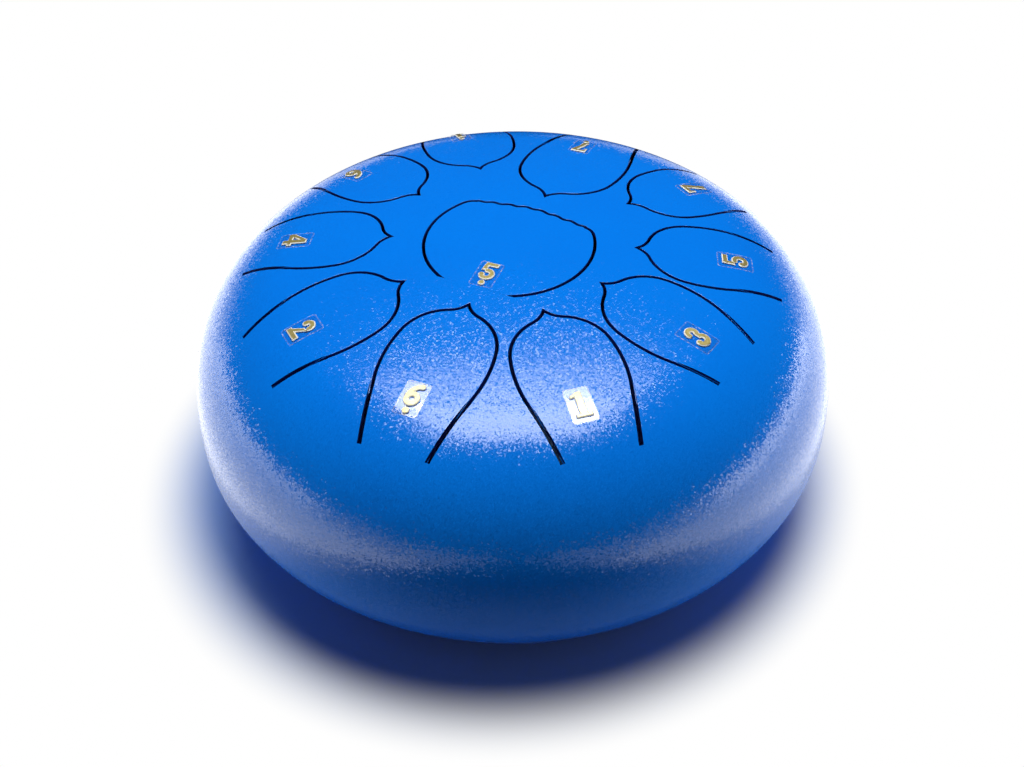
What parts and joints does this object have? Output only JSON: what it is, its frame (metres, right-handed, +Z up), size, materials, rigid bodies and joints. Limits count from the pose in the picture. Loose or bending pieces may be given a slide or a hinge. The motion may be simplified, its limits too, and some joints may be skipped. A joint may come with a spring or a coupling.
{
  "type": "steel tongue drum",
  "caption": "Round blue steel tongue drum: a domed lid cut into petal tongues round a wavy-edged centre tongue, gold number labels, a welded bowl with a sound hole, rubber feet.",
  "frame": {"origin": "on the floor under the middle of the drum, in the plane of the rubber feet", "axes": "+Z up along the drum's axis, -Y towards the player, +X to the player's right"},
  "size_m": [0.254, 0.254, 0.1188],
  "materials": {
    "blue_paint": "glossy spray paint with a fine orange peel",
    "label_film": "clear film",
    "gold_foil": "bright hot-stamped foil",
    "foot_rubber": "matte moulded rubber"
  },
  "bodies": {
    "drum": {"upper_shell": "blue_paint", "lower_shell": "blue_paint", "seam_weld": "blue_paint", "foot_front": "foot_rubber", "foot_right": "foot_rubber", "foot_left": "foot_rubber"},
    "tongue_low_5": {"tongue_low_5": "blue_paint", "film_low_5": "label_film", "numeral_low_5": "gold_foil"},
    "tongue_low_6": {"tongue_low_6": "blue_paint", "film_low_6": "label_film", "numeral_low_6": "gold_foil"},
    "tongue_1": {"tongue_1": "blue_paint", "film_1": "label_film", "numeral_1": "gold_foil"},
    "tongue_3": {"tongue_3": "blue_paint", "film_3": "label_film", "numeral_3": "gold_foil"},
    "tongue_5": {"tongue_5": "blue_paint", "film_5": "label_film", "numeral_5": "gold_foil"},
    "tongue_7": {"tongue_7": "blue_paint", "film_7": "label_film", "numeral_7": "gold_foil"},
    "tongue_low_7": {"tongue_low_7": "blue_paint", "film_low_7": "label_film", "numeral_low_7": "gold_foil"},
    "tongue_high_1": {"tongue_high_1": "blue_paint", "film_high_1": "label_film", "numeral_high_1": "gold_foil"},
    "tongue_6": {"tongue_6": "blue_paint", "film_6": "label_film", "numeral_6": "gold_foil"},
    "tongue_4": {"tongue_4": "blue_paint", "film_4": "label_film", "numeral_4": "gold_foil"},
    "tongue_2": {"tongue_2": "blue_paint", "film_2": "label_film", "numeral_2": "gold_foil"}
  },
  "joints": [
    {"name": "tongue_low_5_flexure", "type": "hinge", "parent": "drum", "child": "tongue_low_5", "pos_m": [-0.01257, -0.02636, 0.11685], "axis": [0.9026, -0.4305, 0], "range_deg": [-0.8, 0.8], "stiffness_Nm_per_rad": 62},
    {"name": "tongue_low_6_flexure", "type": "hinge", "parent": "drum", "child": "tongue_low_6", "pos_m": [-0.03903, -0.09422, 0.10385], "axis": [0.9239, -0.3827, 0], "range_deg": [-0.8, 0.8], "stiffness_Nm_per_rad": 76},
    {"name": "tongue_1_flexure", "type": "hinge", "parent": "drum", "child": "tongue_1", "pos_m": [0.02794, -0.09742, 0.10424], "axis": [0.9613, 0.2756, 0], "range_deg": [-0.8, 0.8], "stiffness_Nm_per_rad": 92},
    {"name": "tongue_3_flexure", "type": "hinge", "parent": "drum", "child": "tongue_3", "pos_m": [0.07698, -0.05907, 0.10657], "axis": [0.6088, 0.7934, 0], "range_deg": [-0.8, 0.8], "stiffness_Nm_per_rad": 111},
    {"name": "tongue_5_flexure", "type": "hinge", "parent": "drum", "child": "tongue_5", "pos_m": [0.10129, -0.00797, 0.10409], "axis": [0.0785, 0.9969, 0], "range_deg": [-0.8, 0.8], "stiffness_Nm_per_rad": 148},
    {"name": "tongue_7_flexure", "type": "hinge", "parent": "drum", "child": "tongue_7", "pos_m": [0.08919, 0.04944, 0.10385], "axis": [-0.4848, 0.8746, 0], "range_deg": [-0.8, 0.8], "stiffness_Nm_per_rad": 169},
    {"name": "tongue_low_7_flexure", "type": "hinge", "parent": "drum", "child": "tongue_low_7", "pos_m": [0.04471, 0.09166, 0.10385], "axis": [-0.8988, 0.4384, 0], "range_deg": [-0.8, 0.8], "stiffness_Nm_per_rad": 136},
    {"name": "tongue_high_1_flexure", "type": "hinge", "parent": "drum", "child": "tongue_high_1", "pos_m": [-0.02033, 0.09993, 0.10385], "axis": [-0.9799, -0.1994, 0], "range_deg": [-0.8, 0.8], "stiffness_Nm_per_rad": 179},
    {"name": "tongue_6_flexure", "type": "hinge", "parent": "drum", "child": "tongue_6", "pos_m": [-0.07211, 0.07211, 0.10385], "axis": [-0.7071, -0.7071, 0], "range_deg": [-0.8, 0.8], "stiffness_Nm_per_rad": 173},
    {"name": "tongue_4_flexure", "type": "hinge", "parent": "drum", "child": "tongue_4", "pos_m": [-0.1011, 0.01601, 0.10361], "axis": [-0.1564, -0.9877, 0], "range_deg": [-0.8, 0.8], "stiffness_Nm_per_rad": 140},
    {"name": "tongue_2_flexure", "type": "hinge", "parent": "drum", "child": "tongue_2", "pos_m": [-0.08962, -0.04866, 0.10385], "axis": [0.4772, -0.8788, 0], "range_deg": [-0.8, 0.8], "stiffness_Nm_per_rad": 109}
  ]
}
